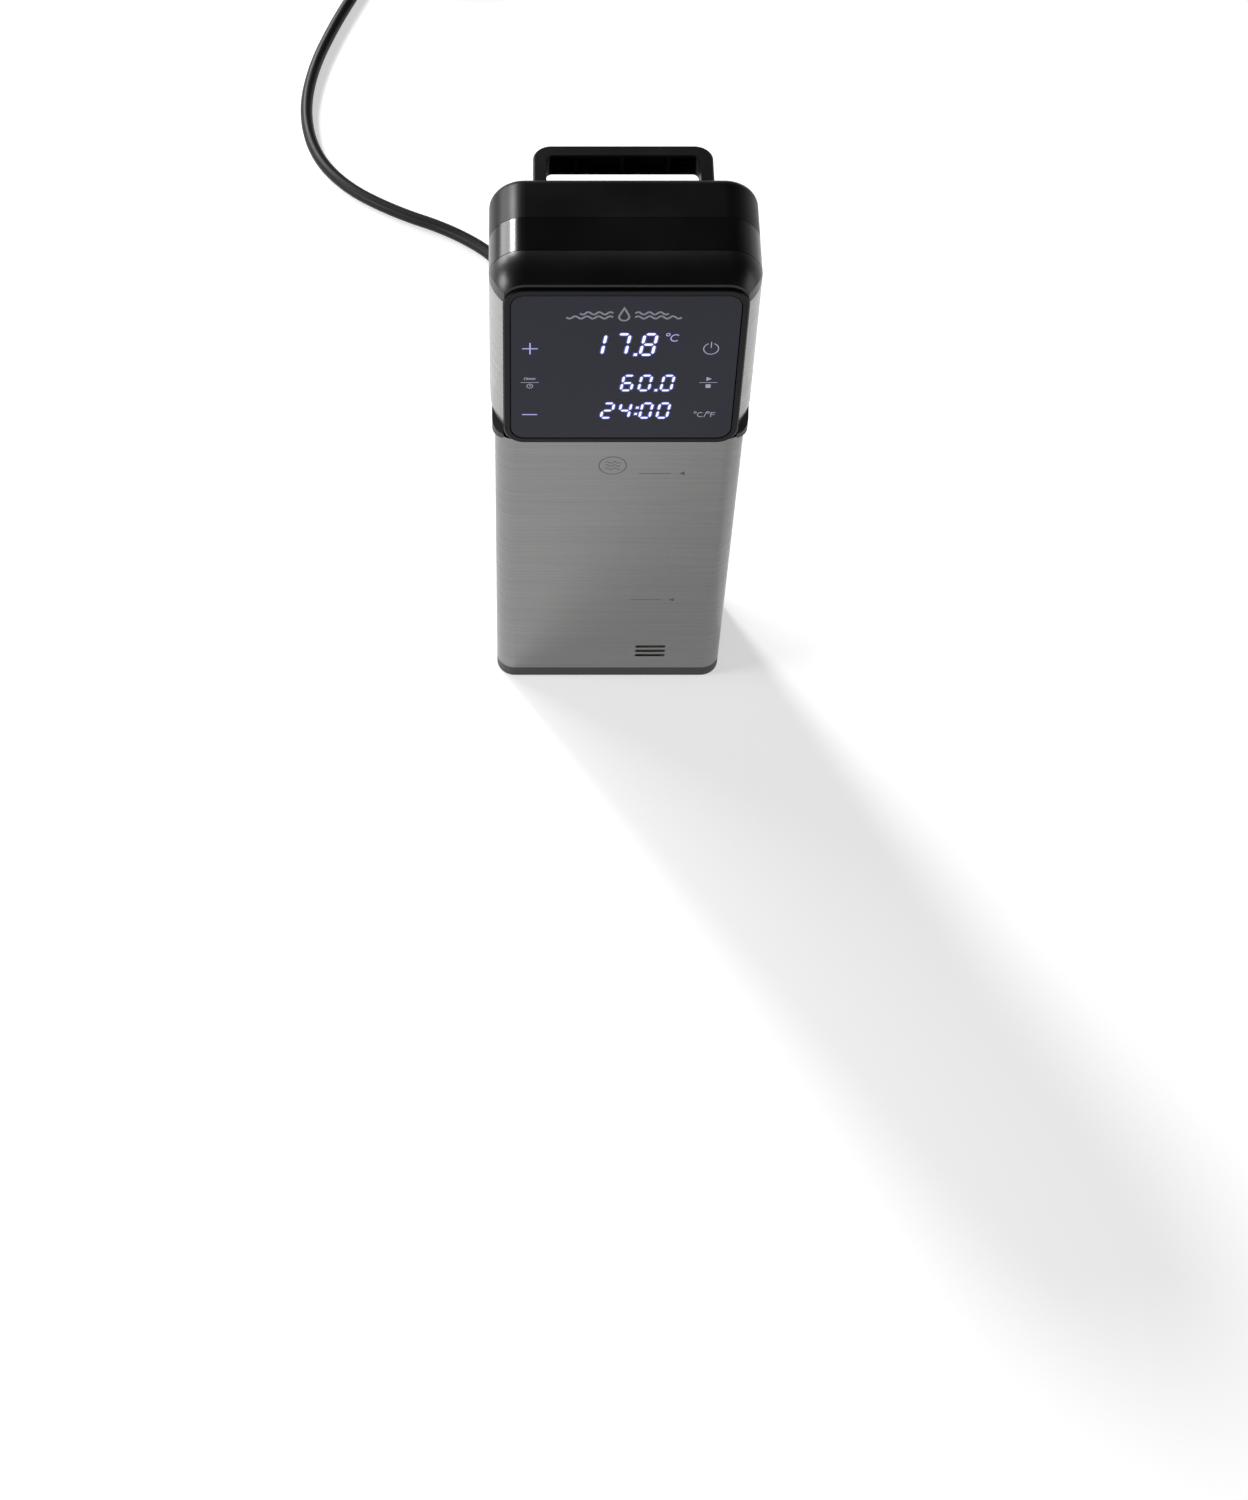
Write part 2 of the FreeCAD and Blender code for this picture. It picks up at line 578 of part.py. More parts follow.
# ---- rim clamp ----------------------------------------------------------------------------------
def clamp_bracket():
    """Bent steel strap: bolted to the collar, over the bath's rim and down behind it."""
    high, low, half, back, top = 217, 144, 15, STRAP_Y + STRAP_T, ARM_Z + STRAP_T
    strap = outline([
        V(-half, STRAP_Y, high), V(-half, STRAP_Y, ARM_Z), V(-half, LEG_Y, ARM_Z), V(-half, LEG_Y, low),
        V(-half, LEG_Y + LEG_T, low), V(-half, LEG_Y + LEG_T, top), V(-half, back, top),
        V(-half, back, high)], V(2 * half, 0, 0))
    corners = [e for e in edges_along(strap, X)
               if abs(e.Vertexes[0].Z - top) < 0.1 and e.Vertexes[0].Y > 60]
    strap = strap.makeFillet(4, corners)
    inner = [e for e in edges_along(strap, X)
             if abs(e.Vertexes[0].Z - ARM_Z) < 0.1 and e.Vertexes[0].Y > 60]
    strap = strap.makeFillet(1.5, inner)
    webs = []
    for x in (-half, half - 2):
        webs.append(outline([V(x, back + 1.9, top), V(x, LEG_Y - 1, top), V(x, back, 214), V(x, back, top)],
                            V(2, 0, 0)))
    boss = bar(0, JAW_Z, LEG_Y + LEG_T, LEG_Y + LEG_T + 6, 8.5)
    body = fuse(strap, boss, *webs)
    holes = [bar(0, JAW_Z, 50, 90, SCREW_R + 0.08)]
    holes += [bar(x, BOLT_Z, 30, 45, 2.1) for x in BOLT_XS]
    return cut(body, *holes)


def clamp_bolts():
    return group(*[screw(V(x, STRAP_Y + STRAP_T, BOLT_Z), -Y, 2.0, 8, 3.6, 2.2) for x in BOLT_XS])


def rim_rubber():
    """Ribbed rubber on the skirt, against the inside of the bath's wall."""
    pad = block(-18, 18, SKIRT_D / 2, RIM_FACE_Y, 148, 182)
    pad = pad.makeFillet(4, edges_along(pad, Y))
    grooves = [block(-30, 30, RIM_FACE_Y - 0.7, RIM_FACE_Y + 1, z, z + 1.2) for z in range(153, 180, 5)]
    return cut(pad, *grooves)


def clamp_pad():
    plate = bar(0, JAW_Z, JAW_PAD_Y + 1.5, JAW_PAD_Y + 4, 13)
    hub = bar(0, JAW_Z, JAW_PAD_Y + 4, JAW_PAD_Y + 9, 7)
    return cut(fuse(plate, hub), bar(0, JAW_Z, JAW_PAD_Y + 4.3, JAW_PAD_Y + 10, 3.06))


def pad_rubber():
    face = bar(0, JAW_Z, JAW_PAD_Y, JAW_PAD_Y + 1.5, 13)
    rings = [bar(0, JAW_Z, JAW_PAD_Y - 1, JAW_PAD_Y + 0.5, r + 0.6, r - 0.6) for r in (4, 7, 10)]
    return cut(face, *rings)


def clamp_screw():
    tip = bar(0, JAW_Z, JAW_PAD_Y + 4.6, JAW_PAD_Y + 9.4, 3.0)
    shank = bar(0, JAW_Z, JAW_PAD_Y + 9.4, JAW_PAD_Y + 48, SCREW_R)
    return fuse(tip, shank)


def clamp_knob():
    """Five-lobed hand knob."""
    low, high = JAW_PAD_Y + 39, JAW_PAD_Y + 53
    knob = bar(0, JAW_Z, low, high, 14)
    lobes, dips = [], []
    for step in range(5):
        angle = math.radians(72 * step + 90)
        lobes.append(bar(14 * math.cos(angle), JAW_Z + 14 * math.sin(angle), low, high, 4.5))
        angle += math.radians(36)
        dips.append(bar(16.5 * math.cos(angle), JAW_Z + 16.5 * math.sin(angle), low - 1, high + 1, 4.5))
    cap = bar(0, JAW_Z, high, high + 1.5, 9)
    knob = cut(fuse(knob, *lobes), *dips).fuse(cap)
    return knob.cut(bar(0, JAW_Z, low - 1, JAW_PAD_Y + 48, SCREW_R))


# ---- carrying handle ----------------------------------------------------------------------------
def carry_handle():
    """Flat rear loop; its grip is hollowed and ribbed on the inside."""
    half, gap_y = HANDLE_HALF, HANDLE_GAP_Y
    loop = block(-half, half, 30, HANDLE_BACK, HANDLE_Z0, HANDLE_Z1)
    outer = [e for e in edges_along(loop, Z) if e.Vertexes[0].Y > 50]
    loop = loop.makeFillet(8.5, outer)
    gap = block(-35.6, 35.6, 20, gap_y, HANDLE_Z0 - 5, HANDLE_Z1 + 5)
    inner = [e for e in edges_along(gap, Z) if e.Vertexes[0].Y > 50]
    loop = loop.cut(gap.makeFillet(3, inner))
    rims = [e for e in loop.Edges
            if all(abs(v.Z - HANDLE_Z1) < 1e-6 or abs(v.Z - HANDLE_Z0) < 1e-6 for v in e.Vertexes)
            and max(v.Y for v in e.Vertexes) > 50
            and (e.BoundBox.YMax > 60 or abs(abs(e.Vertexes[0].X) - half) < 0.1)]
    loop = loop.makeChamfer(0.8, [e for e in rims if e.BoundBox.XLength + e.BoundBox.YLength > 1])
    recess = block(-34, 34, gap_y - 1, gap_y + 3.2, HANDLE_Z0 + 1.6, HANDLE_Z1 - 1.6)
    ribs = [block(x - 0.7, x + 0.7, gap_y - 2, gap_y + 4, HANDLE_Z0, HANDLE_Z1) for x in (-21.5, 0, 21.5)]
    ribs.append(block(-40, 40, gap_y + 1.4, gap_y + 4, HANDLE_MID_Z - 0.6, HANDLE_MID_Z + 0.6))
    loop = cut(loop, cut(recess, *ribs), OUTER)
    pilots = [bar(side * HANDLE_SCREW_X, HANDLE_MID_Z, 30, 46, 1.5) for side in (-1, 1)]
    return cut(loop, *pilots)


def small_screws():
    """All pan-head screws: two for the handle, four for the panel board, three terminal screws."""
    seat = HEAD_BACK - WALL
    handle = [screw(V(side * HANDLE_SCREW_X, seat, HANDLE_MID_Z), Y, 1.45, 9.5) for side in (-1, 1)]
    panel = [lean_back(screw(V(x, PANEL_BOARD_Y + BOARD_T, z), -Y, 1.5, 3.2, 2.6, 1.6))
             for x, z in BOARD_HOLES]
    terminal = [rod(TERMINAL_X, y, 205, 210, 2.3).cut(block(-30, -24, y - 0.4, y + 0.4, 209, 211))
                for y in TERMINAL_YS]
    return group(*handle, *panel, *terminal)


# ---- mains lead ---------------------------------------------------------------------------------
GLAND_R, GLAND_FLANGE = 8.0, 2.5
RELIEF_END = 70.0
RELIEF_R, RELIEF_TIP_R = 6.6, 4.7


def cable_gland():
    body = bar(CORD_X, CORD_Z, 28, HEAD_BACK, GLAND_R)
    flange = bar(CORD_X, CORD_Z, HEAD_BACK, HEAD_BACK + GLAND_FLANGE, 11)
    return cut(fuse(body, flange), bar(CORD_X, CORD_Z, 20, 50, CORD_D / 2 + 0.5))


def gland_nut():
    nut = bar(CORD_X, CORD_Z, 30, HEAD_BACK - WALL, 12)
    flats = []
    for step in range(6):
        flat = block(CORD_X + 10.4, CORD_X + 20, 25, 40, CORD_Z - 15, CORD_Z + 15)
        flat.rotate(V(CORD_X, 0, CORD_Z), Y, 60 * step)
        flats.append(flat)
    return cut(nut, *flats, bar(CORD_X, CORD_Z, 20, 50, GLAND_R))


def strain_relief():
    """Tapered sleeve with ring grooves."""
    start, count = HEAD_BACK + GLAND_FLANGE, 7
    pitch = (RELIEF_END - start) / count
    profile = [(CORD_D / 2, 0.0), (RELIEF_R, 0.0)]
    for step in range(count):
        r = RELIEF_R - (RELIEF_R - RELIEF_TIP_R) * (step + 1) / count
        base = step * pitch
        profile += [(r, base + pitch * 0.6), (r - 0.7, base + pitch * 0.6)]
        profile += [(r - 0.7, base + pitch), (r, base + pitch)] if step < count - 1 else []
    profile += [(CORD_D / 2, RELIEF_END - start - 0.4 * pitch)]
    return revolve(profile, V(CORD_X, start, CORD_Z), Y)


# The lead's own route: out of the sleeve, down behind the head, then over the surface.
DROP = [(-29, 90, 234), (-31, 112, 222), (-33, 129, 197), (-35, 141, 162), (-37, 151, 122),
        (-40, 163, 83), (-43, 181, 48), (-46, 208, 18), (-50, 241, 4.4)]
LYING = [(-59, 271), (-88, 294), (-124, 310), (-155, 331), (-175, 359), (-183, 396),
         (-179, 436), (-166, 478), (-153, 510), (-142.5, 541), (-133.5, 570)]
CORD_ROUTE = ([V(CORD_X, RELIEF_END, CORD_Z)] + [V(*point) for point in DROP]
              + [V(x, y, CORD_D / 2) for x, y in LYING])
COIL_X, COIL_Y, COIL_R = -89.3, 556.3, 42.5
TAIL_Y = COIL_Y + 47.0
TAIL_Z = CORD_D / 2 + 6.5
TAIL_END = COIL_X + 30


def cord_tube(points, d):
    """Straight runs joined by arcs, each as large as its two runs allow."""
    edges, here = [], points[0]
    for before, corner, after in zip(points, points[1:], points[2:]):
        back, ahead = (before - corner), (after - corner)
        short = min(back.Length, ahead.Length)
        back.normalize()
        ahead.normalize()
        half_turn = (math.pi - back.getAngle(ahead)) / 2
        radius = 0.45 * short / math.tan(half_turn)
        start, end = corner + back * (0.45 * short), corner + ahead * (0.45 * short)
        centre = corner + (back + ahead).normalize() * (radius / math.cos(half_turn))
        mid = centre + (corner - centre).normalize() * radius
        edges.append(Part.LineSegment(here, start).toShape())
        edges.append(Part.Arc(start, mid, end).toShape())
        here = end
    edges.append(Part.LineSegment(here, points[-1]).toShape())
    path = Part.Wire(edges)
    section = Part.Wire(Part.Circle(points[0], points[1] - points[0], d / 2).toShape())
    return path.makePipeShell([section], True, False)


def power_cord():
    return cord_tube(CORD_ROUTE, CORD_D)


def cord_coil():
    """Outer form of the put-away turns: two side by side and one on top."""
    r, d = COIL_R, CORD_D
    profile = [(r - d + 1, 0), (r + d - 1, 0), (r + d, 1.5), (r + d, d + 4.5), (r + d - 2, d + 6.5),
               (r - 2.5, d + 6.5), (r - d / 2, d + 5.5), (r - d, d - 1.5), (r - d, 1.5)]
    return revolve(profile, V(COIL_X, COIL_Y, 0), Z)


def cord_tail():
    return Part.makeCylinder(CORD_D / 2, TAIL_END - COIL_X, V(COIL_X, TAIL_Y, TAIL_Z), X)


def cord_tie():
    """Strap round the turns."""
    band = block(-2.5, 2.5, COIL_R - CORD_D - 1.4, COIL_R + CORD_D + 1.4, 0, CORD_D + 8)
    band = band.makeFillet(3, [e for e in edges_along(band, X) if e.Vertexes[0].Z > 1])
    hole = block(-3, 3, COIL_R - CORD_D - 0.1, COIL_R + CORD_D + 0.1, -1, CORD_D + 6.6)
    band = band.cut(hole)
    band.rotate(V(0, 0, 0), Z, -115)
    band.translate(V(COIL_X, COIL_Y, 0))
    return band


def plug_body():
    """Moulded plug and its tapered sleeve, one piece."""
    sleeve = Part.makeCone(4.6, 6.4, 23, V(TAIL_END, TAIL_Y, TAIL_Z), X)
    low = TAIL_END + 22
    body = block(low, low + 36, TAIL_Y - 17, TAIL_Y + 17, 0, 2 * TAIL_Z)
    body = body.makeFillet(8, edges_along(body, Z))
    rims = [e for e in body.Edges if all(v.Z < 1e-6 or v.Z > 2 * TAIL_Z - 1e-6 for v in e.Vertexes)
            and e.BoundBox.ZLength < 1e-6]
    return fuse(body.makeFillet(3, rims), sleeve)


def plug_pins():
    start = TAIL_END + 58
    pins = []
    for side in (-9.5, 9.5):
        pin = Part.makeCylinder(2.4, 17, V(start, TAIL_Y + side, TAIL_Z), X)
        pins.append(fuse(pin, Part.makeSphere(2.4, V(start + 17, TAIL_Y + side, TAIL_Z))))
    return group(*pins)


# ---- all pieces ---------------------------------------------------------------------------------
PIECES = {
    "front_visor": front_visor(), "top_cover": top_cover(), "rear_cover": rear_cover(),
    "side_panel_left": side_panel(-1), "side_panel_right": side_panel(1),
    "head_collar": head_collar(), "bezel_frame": bezel_frame(), "touch_glass": touch_glass(),
    "display_board": display_board(), "led_modules": led_modules(),
    "touch_springs": touch_springs(), "buzzer": buzzer(),
    "power_board": power_board(), "board_bracket": board_bracket(), "heat_sink": heat_sink(),
    "board_components": board_components(), "terminal_block": terminal_block(),
    "motor_mount": motor_mount(), "motor_housing": motor_housing(), "motor_bearings": motor_bearings(),
    "motor_stator": motor_stator(), "motor_windings": motor_windings(), "motor_rotor": motor_rotor(),
    "motor_shaft": motor_shaft(), "cooling_fan": cooling_fan(), "impeller": impeller(),
    "pump_housing": pump_housing(), "pump_column": pump_column(),
    "shaft_bushes": shaft_bushes(), "shaft_seal": shaft_seal(),
    "chassis_plate": chassis_plate(), "chassis_gasket": chassis_gasket(),
    "heater_hairpins": heater_hairpins(), "heater_bushings": heater_bushings(),
    "heater_terminals": heater_terminals(), "heater_brace": heater_brace(),
    "temp_probe": temp_probe(), "level_rod": level_rod(), "level_float": level_float(),
    "steel_skirt": steel_skirt(), "foot": foot(), "intake_cover": intake_cover(),
    "clamp_bracket": clamp_bracket(), "clamp_bolts": clamp_bolts(), "rim_rubber": rim_rubber(),
    "clamp_pad": clamp_pad(), "pad_rubber": pad_rubber(), "clamp_screw": clamp_screw(),
    "clamp_knob": clamp_knob(), "carry_handle": carry_handle(), "small_screws": small_screws(),
    "cable_gland": cable_gland(), "gland_nut": gland_nut(), "strain_relief": strain_relief(),
    "power_cord": power_cord(), "cord_coil": cord_coil(), "cord_tail": cord_tail(),
    "cord_tie": cord_tie(), "plug_body": plug_body(), "plug_pins": plug_pins(),
}

os.makedirs("parts", exist_ok=True)
for name, shape in PIECES.items():
    shape.exportStep("parts/" + name + ".step")
    if not shape.isValid() or not shape.Solids:
        print("check", name, len(shape.Solids))
print(len(PIECES), "pieces")
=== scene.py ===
import json
import math
import bmesh
import bpy
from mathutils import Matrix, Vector


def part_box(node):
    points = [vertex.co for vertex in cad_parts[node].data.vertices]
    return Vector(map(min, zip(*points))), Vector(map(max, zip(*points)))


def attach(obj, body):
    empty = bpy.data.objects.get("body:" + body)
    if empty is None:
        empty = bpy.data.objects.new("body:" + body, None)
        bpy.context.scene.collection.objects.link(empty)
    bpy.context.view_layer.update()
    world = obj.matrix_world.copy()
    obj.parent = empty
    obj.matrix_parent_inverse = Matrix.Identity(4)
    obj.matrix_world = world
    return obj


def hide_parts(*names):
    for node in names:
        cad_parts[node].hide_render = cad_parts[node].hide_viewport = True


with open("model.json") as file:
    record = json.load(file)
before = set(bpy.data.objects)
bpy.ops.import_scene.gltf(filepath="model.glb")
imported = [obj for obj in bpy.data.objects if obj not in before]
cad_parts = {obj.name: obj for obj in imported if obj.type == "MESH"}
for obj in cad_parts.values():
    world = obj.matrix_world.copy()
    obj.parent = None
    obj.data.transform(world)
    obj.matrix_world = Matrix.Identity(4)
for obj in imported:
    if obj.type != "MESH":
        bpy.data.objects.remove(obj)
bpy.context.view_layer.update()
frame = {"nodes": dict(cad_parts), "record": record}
NODES = frame["nodes"]
MM = 0.001
MICRON = 0.000001
TURN = 2 * math.pi

# The panel leans back about its lower front edge.
LEAN = math.radians(4.5)
PANEL_FOOT = Vector((0, -33.5, 200)) * MM
PANEL_UP = Vector((0, math.sin(LEAN), math.cos(LEAN)))
PANEL_OUT = Vector((0, -math.cos(LEAN), math.sin(LEAN)))
GLASS_LIFT = -0.2         # the glass lies just below the panel's face
SKIRT_FRONT = -31.0
CLAMP_Z = 165.0


# ---- camera, light and floor --------------------------------------------------------------------
def set_camera():
    data = bpy.data.cameras.new("camera")
    data.lens = 61.9
    data.sensor_width = 36
    data.shift_x = 0.0723
    data.shift_y = 0.002
    data.clip_start = 0.01
    data.clip_end = 50
    camera = bpy.data.objects.new("camera", data)
    camera.location = (-0.0498, -0.8193, 1.1549)
    camera.rotation_euler = (math.radians(32.6), 0, 0)
    bpy.context.scene.collection.objects.link(camera)
    bpy.context.scene.camera = camera


def add_light(name, kind, energy, toward, **settings):
    """A light that shines along toward."""
    data = bpy.data.lights.new(name, kind)
    data.energy = energy
    place = settings.pop("place", (0, 0, 3))
    for key, value in settings.items():
        setattr(data, key, value)
    light = bpy.data.objects.new(name, data)
    light.location = place
    light.rotation_euler = Vector(toward).to_track_quat("-Z", "Y").to_euler()
    bpy.context.scene.collection.objects.link(light)


def set_light():
    """A pale room that darkens overhead, a sun from behind and soft lights at the sides."""
    scene = bpy.context.scene
    scene.view_settings.view_transform = "Standard"
    world = bpy.data.worlds.new("studio")
    scene.world = world
    world.use_nodes = True
    tree = world.node_tree
    place = tree.nodes.new("ShaderNodeTexCoord")
    split = tree.nodes.new("ShaderNodeSeparateXYZ")
    fade = tree.nodes.new("ShaderNodeMapRange")
    fade.inputs["From Min"].default_value = 0.05
    fade.inputs["From Max"].default_value = 0.55
    fade.inputs["To Min"].default_value = 0.62
    fade.inputs["To Max"].default_value = 0.05
    tree.links.new(place.outputs["Generated"], split.inputs["Vector"])
    tree.links.new(split.outputs["Z"], fade.inputs["Value"])
    tree.links.new(fade.outputs["Result"], tree.nodes["Background"].inputs["Strength"])
    tree.nodes["Background"].inputs["Color"].default_value = (1, 1, 1, 1)
    add_light("key", "SUN", 2.6, (0.46, -0.76, -0.54), angle=math.radians(10))
    add_light("edge", "AREA", 9.0, (0.66, -0.5, -0.3), place=(-0.85, 0.72, 0.64), size=0.52)
    add_light("side_fill", "AREA", 9.0, (0.95, 0.12, -0.22), place=(-1.15, -0.16, 0.58), size=0.45)
    add_light("right_card", "AREA", 2.2, (-0.95, 0.15, -0.2), place=(1.2, -0.2, 0.5), size=0.7)


def add_floor():
    bpy.ops.mesh.primitive_plane_add(size=30)
    floor = bpy.context.object
    floor.name = "floor"
    constants = {"Base Color": (0.62, 0.62, 0.62, 1), "Roughness": 0.9, "Specular IOR Level": 0.1,
                 "Emission Color": (1, 1, 1, 1), "Emission Strength": 0.55}
    floor.data.materials.append(shader("pale_floor", constants)[0])


# ---- shader helpers -----------------------------------------------------------------------------
def shader(name, constants):
    """A new material with some of its sockets set."""
    mat = bpy.data.materials.new(name)
    mat.use_nodes = True
    bsdf = mat.node_tree.nodes["Principled BSDF"]
    for socket, value in constants.items():
        bsdf.inputs[socket].default_value = value
    return mat, mat.node_tree, bsdf


def scaled(colour, factor):
    return [min(1, channel * factor) for channel in colour]


def noise(tree, scale, stretch=(1, 1, 1), detail=3.0):
    """A noise value fixed to the object, so that it moves with the piece."""
    place = tree.nodes.new("ShaderNodeTexCoord")
    mapping = tree.nodes.new("ShaderNodeMapping")
    mapping.inputs["Scale"].default_value = stretch
    texture = tree.nodes.new("ShaderNodeTexNoise")
    texture.inputs["Scale"].default_value = scale
    texture.inputs["Detail"].default_value = detail
    tree.links.new(place.outputs["Object"], mapping.inputs["Vector"])
    tree.links.new(mapping.outputs["Vector"], texture.inputs["Vector"])
    return texture.outputs["Fac"]


def spread(tree, value, socket, low, high):
    """Map a noise value onto a number socket."""
    node = tree.nodes.new("ShaderNodeMapRange")
    node.inputs["From Min"].default_value = 0.3
    node.inputs["From Max"].default_value = 0.7
    node.inputs["To Min"].default_value = low
    node.inputs["To Max"].default_value = high
    tree.links.new(value, node.inputs["Value"])
    tree.links.new(node.outputs["Result"], socket)


def tint(tree, value, socket, dark, light):
    """Map a noise value onto a colour socket."""
    ramp = tree.nodes.new("ShaderNodeValToRGB")
    ramp.color_ramp.elements[0].position = 0.3
    ramp.color_ramp.elements[1].position = 0.7
    ramp.color_ramp.elements[0].color = (*dark, 1)
    ramp.color_ramp.elements[1].color = (*light, 1)
    tree.links.new(value, ramp.inputs["Fac"])
    tree.links.new(ramp.outputs["Color"], socket)


def bump(tree, bsdf, value, microns):
    """Raise the surface by a texture value, as deep as real skin or grain."""
    node = tree.nodes.new("ShaderNodeBump")
    node.inputs["Strength"].default_value = 1
    node.inputs["Distance"].default_value = microns * MICRON
    tree.links.new(value, node.inputs["Height"])
    tree.links.new(node.outputs["Normal"], bsdf.inputs["Normal"])


# ---- materials ----------------------------------------------------------------------------------
def moulded(name, colour, rough, grain=1800.0, depth=12, level=0.5, spread_by=0.06):
    """Moulded plastic or rubber: fine skin, patchy sheen, slightly uneven colour."""
    mat, tree, bsdf = shader(name, {"Specular IOR Level": level})
    fine = noise(tree, grain, detail=2)
    broad = noise(tree, 28, detail=4)
    tint(tree, broad, bsdf.inputs["Base Color"], scaled(colour, 0.85), scaled(colour, 1.15))
    spread(tree, broad, bsdf.inputs["Roughness"], rough - spread_by, rough + spread_by)
    bump(tree, bsdf, fine, depth)
    return mat


def brushed(name, colour, rough, stretch, depth=8, turn=0.75):
    """Brushed metal, its grain long along the small numbers of stretch."""
    mat, tree, bsdf = shader(name, {"Metallic": 1.0, "Anisotropic": turn})
    grain = noise(tree, 1, stretch, detail=4)
    coarse = noise(tree, 1, [s * 0.22 for s in stretch], detail=2)
    tint(tree, grain, bsdf.inputs["Base Color"], scaled(colour, 0.88), scaled(colour, 1.08))
    spread(tree, coarse, bsdf.inputs["Roughness"], rough - 0.05, rough + 0.07)
    bump(tree, bsdf, grain, depth)
    tangent = tree.nodes.new("ShaderNodeTangent")
    tangent.direction_type = "RADIAL"
    tangent.axis = "Z"
    tree.links.new(tangent.outputs["Tangent"], bsdf.inputs["Tangent"])
    return mat


def metal(name, colour, rough, grain=600.0, depth=4):
    """Plain metal with a fine skin and slightly uneven polish."""
    mat, tree, bsdf = shader(name, {"Metallic": 1.0})
    fine = noise(tree, grain, detail=3)
    broad = noise(tree, 60, detail=3)
    tint(tree, broad, bsdf.inputs["Base Color"], scaled(colour, 0.85), colour)
    spread(tree, broad, bsdf.inputs["Roughness"], rough - 0.05, rough + 0.1)
    bump(tree, bsdf, fine, depth)
    return mat


def tinted_glass():
    """Back-printed panel glass: near-black slate under a polished face with faint smears."""
    mat, tree, bsdf = shader("panel_slate_glass", {"IOR": 1.5, "Specular IOR Level": 0.27})
    broad = noise(tree, 22, detail=5)
    tint(tree, broad, bsdf.inputs["Base Color"], (0.0042, 0.0046, 0.0175), (0.0062, 0.0068, 0.0215))
    spread(tree, broad, bsdf.inputs["Roughness"], 0.05, 0.11)
    bump(tree, bsdf, noise(tree, 9, detail=1), 20)
    return mat


def lit(name, colour, strength, tone_low=0.9):
    """A lamp's face: the light is a little uneven across it."""
    mat, tree, bsdf = shader(name, {"Emission Strength": strength, "Roughness": 0.4})
    tint(tree, noise(tree, 900, detail=2), bsdf.inputs["Emission Color"], scaled(colour, tone_low), colour)
    tint(tree, noise(tree, 300), bsdf.inputs["Base Color"], scaled(colour, 0.2), scaled(colour, 0.3))
    return mat


def circuit_board():
    """Solder mask with tracks pressed through it."""
    mat, tree, bsdf = shader("solder_mask", {"Roughness": 0.35})
    place = tree.nodes.new("ShaderNodeTexCoord")
    tracks = tree.nodes.new("ShaderNodeTexBrick")
    tracks.inputs["Scale"].default_value = 180
    tracks.inputs["Mortar Size"].default_value = 0.06
    tracks.inputs["Color1"].default_value = (0.012, 0.09, 0.035, 1)
    tracks.inputs["Color2"].default_value = (0.015, 0.12, 0.045, 1)
    tracks.inputs["Mortar"].default_value = (0.05, 0.25, 0.09, 1)
    tree.links.new(place.outputs["Object"], tracks.inputs["Vector"])
    tree.links.new(tracks.outputs["Color"], bsdf.inputs["Base Color"])
    bump(tree, bsdf, tracks.outputs["Fac"], 40)
    return mat


def wound_copper():
    """Lacquered wire, one layer beside the next."""
    mat, tree, bsdf = shader("wound_copper", {"Metallic": 0.9, "Roughness": 0.3})
    place = tree.nodes.new("ShaderNodeTexCoord")
    wires = tree.nodes.new("ShaderNodeTexWave")
    wires.bands_direction = "Z"
    wires.inputs["Scale"].default_value = 400
    wires.inputs["Distortion"].default_value = 0.6
    tree.links.new(place.outputs["Object"], wires.inputs["Vector"])
    tint(tree, wires.outputs["Fac"], bsdf.inputs["Base Color"], (0.3, 0.1, 0.03), (0.72, 0.3, 0.12))
    bump(tree, bsdf, wires.outputs["Fac"], 200)
    return mat


HORIZONTAL_GRAIN = (14, 14, 3200)
UPRIGHT_GRAIN = (1300, 1300, 24)
SHEET_GRAIN = (22, 1500, 1500)

SLOT_MATERIALS = {
    "gloss_black": moulded("gloss_black_abs", (0.0016, 0.0016, 0.0017), 0.22,
                           grain=1500, depth=3, level=0.26, spread_by=0.03),
    "black_plastic": moulded("satin_black_abs", (0.0012, 0.0012, 0.0013), 0.37,
                             grain=1900, depth=6, level=0.12, spread_by=0.04),
    "collar_plastic": moulded("dark_grey_pp", (0.032, 0.032, 0.033), 0.52, grain=1600, depth=30, level=0.4),
    "bezel_plastic": moulded("bezel_black", (0.003, 0.003, 0.0035), 0.30,
                             grain=1900, depth=5, level=0.17, spread_by=0.04),
    "panel_glass": tinted_glass(),
    # The skirt's brushed stainless is a darker copy of the steel: painted shade, standing in for the dark
    # things that it reflects.
    "brushed_steel": brushed("brushed_stainless_painted_shade", (0.215, 0.215, 0.213), 0.30, HORIZONTAL_GRAIN),
    "bright_steel": brushed("rolled_stainless", (0.58, 0.58, 0.57), 0.24, SHEET_GRAIN, depth=4, turn=0.4),
    "zinc_fasteners": metal("zinc_plate", (0.72, 0.73, 0.74), 0.25),
    "black_rubber": moulded("matt_rubber", (0.014, 0.014, 0.014), 0.62, grain=900, depth=40, level=0.35),
    "cord_rubber": moulded("cord_jacket", (0.004, 0.004, 0.0042), 0.45, grain=1300, depth=20, level=0.22),
    "circuit_board": circuit_board(),
    "led_plastic": moulded("led_face", (0.04, 0.04, 0.05), 0.4),
    "component_plastic": moulded("component_shell", (0.05, 0.06, 0.08), 0.45),
    "aluminium_fins": metal("extruded_aluminium", (0.8, 0.8, 0.82), 0.38),
    "brass_parts": metal("turned_brass", (0.78, 0.6, 0.28), 0.28),
    "motor_iron": metal("varnished_iron", (0.22, 0.22, 0.24), 0.45),
    "copper_winding": wound_copper(),
    "pump_plastic": moulded("natural_polymer", (0.55, 0.55, 0.52), 0.4, grain=700, depth=20),
}
